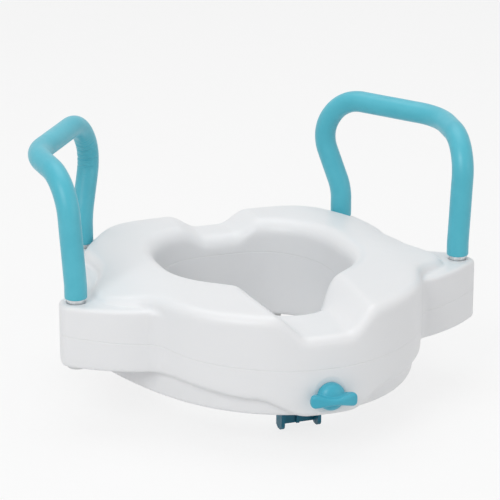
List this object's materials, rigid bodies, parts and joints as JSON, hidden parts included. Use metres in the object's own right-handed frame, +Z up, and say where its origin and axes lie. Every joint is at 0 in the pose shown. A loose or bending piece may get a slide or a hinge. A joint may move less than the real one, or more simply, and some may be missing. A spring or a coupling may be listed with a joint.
{
  "type": "raised toilet seat",
  "caption": "Raised toilet seat with a moulded white body, removable arms with thick padded grips, a front lock knob that draws a clamp jaw, and rear hooks.",
  "frame": {"origin": "centre of the bounding box in X and Y, on the plane of the lowest points of the clamp jaw and the rear hooks", "axes": "+X towards the seated user's left, -Y towards the front where the lock knob is, +Z up"},
  "size_m": [0.577, 0.4796, 0.3461],
  "materials": {
    "white_plastic": "satin blow-moulded polyethylene, white",
    "silver_tube": "brushed and anodised tube",
    "turquoise_grip": "soft satin foam sleeve, turquoise",
    "natural_plastic": "natural nylon",
    "zinc_steel": "zinc plated",
    "white_screw_plastic": "moulded plastic, white",
    "turquoise_plastic": "satin moulded plastic, turquoise",
    "teal_plastic": "glass-filled nylon, dark teal",
    "hook_steel": "white powder coat",
    "pad_rubber": "black non-slip rubber"
  },
  "bodies": {
    "seat": {"seat_body": "white_plastic", "front_bushing": "natural_plastic", "left_rear_hook": "hook_steel", "right_rear_hook": "hook_steel", "left_hook_screws": "zinc_steel", "right_hook_screws": "zinc_steel", "rim_pads": "pad_rubber"},
    "left_arm": {"left_arm_tube": "silver_tube", "left_arm_grip": "turquoise_grip", "left_arm_end_plugs": "natural_plastic", "left_arm_plug_nuts": "zinc_steel"},
    "right_arm": {"right_arm_tube": "silver_tube", "right_arm_grip": "turquoise_grip", "right_arm_end_plugs": "natural_plastic", "right_arm_plug_nuts": "zinc_steel"},
    "lock": {"lock_knob": "turquoise_plastic", "lock_screw": "zinc_steel", "lock_washer": "zinc_steel", "retaining_clip": "zinc_steel"},
    "clamp": {"clamp_jaw": "teal_plastic", "clamp_nut": "zinc_steel"},
    "front_left_screw": {"front_left_hand_screw": "white_screw_plastic", "front_left_stud": "zinc_steel"},
    "front_right_screw": {"front_right_hand_screw": "white_screw_plastic", "front_right_stud": "zinc_steel"},
    "rear_left_screw": {"rear_left_hand_screw": "white_screw_plastic", "rear_left_stud": "zinc_steel"},
    "rear_right_screw": {"rear_right_hand_screw": "white_screw_plastic", "rear_right_stud": "zinc_steel"}
  },
  "joints": [
    {"name": "knob_turn", "type": "hinge", "parent": "seat", "child": "lock", "pos_m": [0, 0, 0.077], "axis": [0, 1, 0], "range_deg": [-720, 3600]},
    {"name": "jaw_slide", "type": "slide", "parent": "seat", "child": "clamp", "axis": [0, 1, 0], "range_m": [-0.0501, 0.0101]},
    {"name": "left_arm_lift", "type": "slide", "parent": "seat", "child": "left_arm", "axis": [0, 0, 1], "range_m": [0, 0.06]},
    {"name": "front_left_screw_turn", "type": "hinge", "parent": "seat", "child": "front_left_screw", "pos_m": [0.2578, -0.0184, 0.081], "axis": [0, 0, 1], "continuous": true},
    {"name": "rear_left_screw_turn", "type": "hinge", "parent": "seat", "child": "rear_left_screw", "pos_m": [0.1845, 0.2016, 0.081], "axis": [0, 0, 1], "continuous": true},
    {"name": "right_arm_lift", "type": "slide", "parent": "seat", "child": "right_arm", "axis": [0, 0, 1], "range_m": [0, 0.06]},
    {"name": "front_right_screw_turn", "type": "hinge", "parent": "seat", "child": "front_right_screw", "pos_m": [-0.2578, -0.0184, 0.081], "axis": [0, 0, 1], "continuous": true},
    {"name": "rear_right_screw_turn", "type": "hinge", "parent": "seat", "child": "rear_right_screw", "pos_m": [-0.1845, 0.2016, 0.081], "axis": [0, 0, 1], "continuous": true}
  ],
  "couplings": [
    {"joint": "jaw_slide", "follows": "knob_turn", "m_per_rad": -0.00079577}
  ]
}
